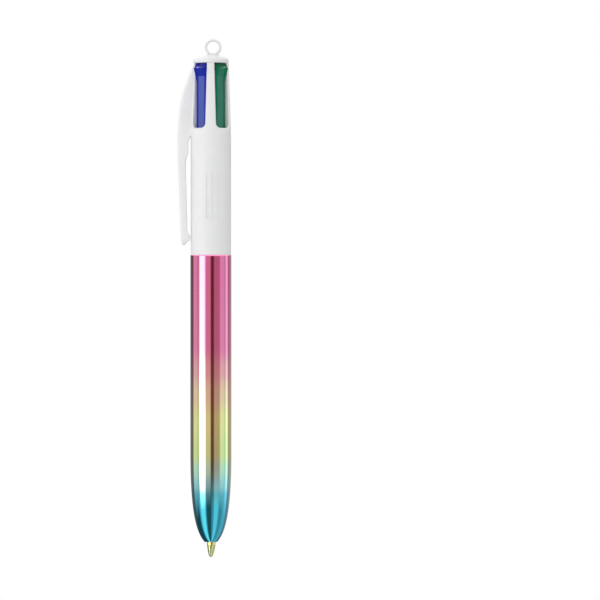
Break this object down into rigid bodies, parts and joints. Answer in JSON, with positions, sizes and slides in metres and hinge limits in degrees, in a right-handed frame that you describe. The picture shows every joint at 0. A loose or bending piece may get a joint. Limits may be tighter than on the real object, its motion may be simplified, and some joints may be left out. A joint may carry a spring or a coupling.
{
  "type": "multicolor click pen",
  "caption": "Retractable ballpoint pen with colour sliders in a slotted white head, a pocket clip, a lanyard ring and a metallised tapered lower barrel.",
  "frame": {"origin": "lowest point of the pressed writing tip, on the pen's axis", "axes": "+Z along the pen from the writing tip to the lanyard ring; -X towards the clip; the blue and green sliders face -Y"},
  "size_m": [0.0153, 0.0118, 0.1478],
  "materials": {
    "white_plastic": "glossy moulded plastic",
    "metallised_barrel": "metallised, pink to gold to teal",
    "natural_plastic": "plain moulded plastic",
    "clear_tube": "translucent",
    "brass_point": "bright turned brass",
    "ball_steel": "polished",
    "spring_steel": "drawn wire",
    "blue_plastic": "glossy",
    "green_plastic": "glossy",
    "black_plastic": "glossy",
    "red_plastic": "glossy",
    "blue_ink": "ink",
    "green_ink": "ink",
    "black_ink": "ink",
    "red_ink": "ink"
  },
  "bodies": {
    "barrel": {"upper_barrel": "white_plastic", "guide_block": "natural_plastic", "top_cap": "white_plastic", "clip_root": "white_plastic", "spring_blue": "spring_steel", "spring_green": "spring_steel", "spring_black": "spring_steel", "spring_red": "spring_steel"},
    "grip": {"lower_barrel": "metallised_barrel"},
    "clip": {"clip_arm": "white_plastic"},
    "slider_blue": {"slider_blue": "blue_plastic", "refill_tube_blue": "clear_tube", "ink_blue": "blue_ink"},
    "point_blue": {"refill_point_blue": "brass_point", "ball_blue": "ball_steel"},
    "slider_green": {"slider_green": "green_plastic", "refill_tube_green": "clear_tube", "ink_green": "green_ink"},
    "point_green": {"refill_point_green": "brass_point", "ball_green": "ball_steel"},
    "slider_black": {"slider_black": "black_plastic", "refill_tube_black": "clear_tube", "ink_black": "black_ink"},
    "point_black": {"refill_point_black": "brass_point", "ball_black": "ball_steel"},
    "slider_red": {"slider_red": "red_plastic", "refill_tube_red": "clear_tube", "ink_red": "red_ink"},
    "point_red": {"refill_point_red": "brass_point", "ball_red": "ball_steel"}
  },
  "joints": [
    {"name": "lower_barrel_pull", "type": "slide", "parent": "barrel", "child": "grip", "axis": [0, 0, 1], "range_m": [-0.09, 0]},
    {"name": "clip_flex", "type": "hinge", "parent": "barrel", "child": "clip", "pos_m": [-0.0095, 0, 0.1198], "axis": [0, 1, 0], "range_deg": [0, 4], "stiffness_Nm_per_rad": 1.5},
    {"name": "slider_blue_press", "type": "slide", "parent": "barrel", "child": "slider_blue", "axis": [0, 0, -1], "range_m": [0, 0.01], "stiffness_N_per_m": 100, "springref_m": -0.005, "deforming": ["spring_blue", "refill_tube_blue", "ink_blue", "refill_point_blue", "ball_blue"]},
    {"name": "point_blue_lean", "type": "hinge", "parent": "slider_blue", "child": "point_blue", "pos_m": [-0.00191, -0.00191, 0.07], "axis": [0.7071, -0.7071, 0], "range_deg": [0, 2.6], "deforming": ["refill_tube_blue", "ink_blue", "refill_point_blue", "ball_blue"]},
    {"name": "slider_green_press", "type": "slide", "parent": "barrel", "child": "slider_green", "axis": [0, 0, -1], "range_m": [0, 0.01], "stiffness_N_per_m": 100, "springref_m": -0.005, "deforming": ["spring_green", "refill_tube_green", "ink_green", "refill_point_green", "ball_green"]},
    {"name": "point_green_lean", "type": "hinge", "parent": "slider_green", "child": "point_green", "pos_m": [0.00191, -0.00191, 0.07], "axis": [0.7071, 0.7071, 0], "range_deg": [0, 2.6], "deforming": ["refill_tube_green", "ink_green", "refill_point_green", "ball_green"]},
    {"name": "slider_black_press", "type": "slide", "parent": "barrel", "child": "slider_black", "axis": [0, 0, -1], "range_m": [-0.01, 0], "deforming": ["spring_black", "refill_tube_black", "ink_black", "refill_point_black", "ball_black"]},
    {"name": "point_black_lean", "type": "hinge", "parent": "slider_black", "child": "point_black", "pos_m": [0.00191, 0.00191, 0.06], "axis": [-0.7071, 0.7071, 0], "range_deg": [-2.6, 0], "deforming": ["refill_tube_black", "ink_black", "refill_point_black", "ball_black"]},
    {"name": "slider_red_press", "type": "slide", "parent": "barrel", "child": "slider_red", "axis": [0, 0, -1], "range_m": [0, 0.01], "stiffness_N_per_m": 100, "springref_m": -0.005, "deforming": ["spring_red", "refill_tube_red", "ink_red", "refill_point_red", "ball_red"]},
    {"name": "point_red_lean", "type": "hinge", "parent": "slider_red", "child": "point_red", "pos_m": [-0.00191, 0.00191, 0.07], "axis": [-0.7071, -0.7071, 0], "range_deg": [0, 2.6], "deforming": ["refill_tube_red", "ink_red", "refill_point_red", "ball_red"]}
  ],
  "couplings": [
    {"joint": "point_blue_lean", "follows": "slider_blue_press", "rad_per_m": 4.5347},
    {"joint": "point_green_lean", "follows": "slider_green_press", "rad_per_m": 4.5347},
    {"joint": "point_black_lean", "follows": "slider_black_press", "rad_per_m": 4.5347},
    {"joint": "point_red_lean", "follows": "slider_red_press", "rad_per_m": 4.5347}
  ]
}
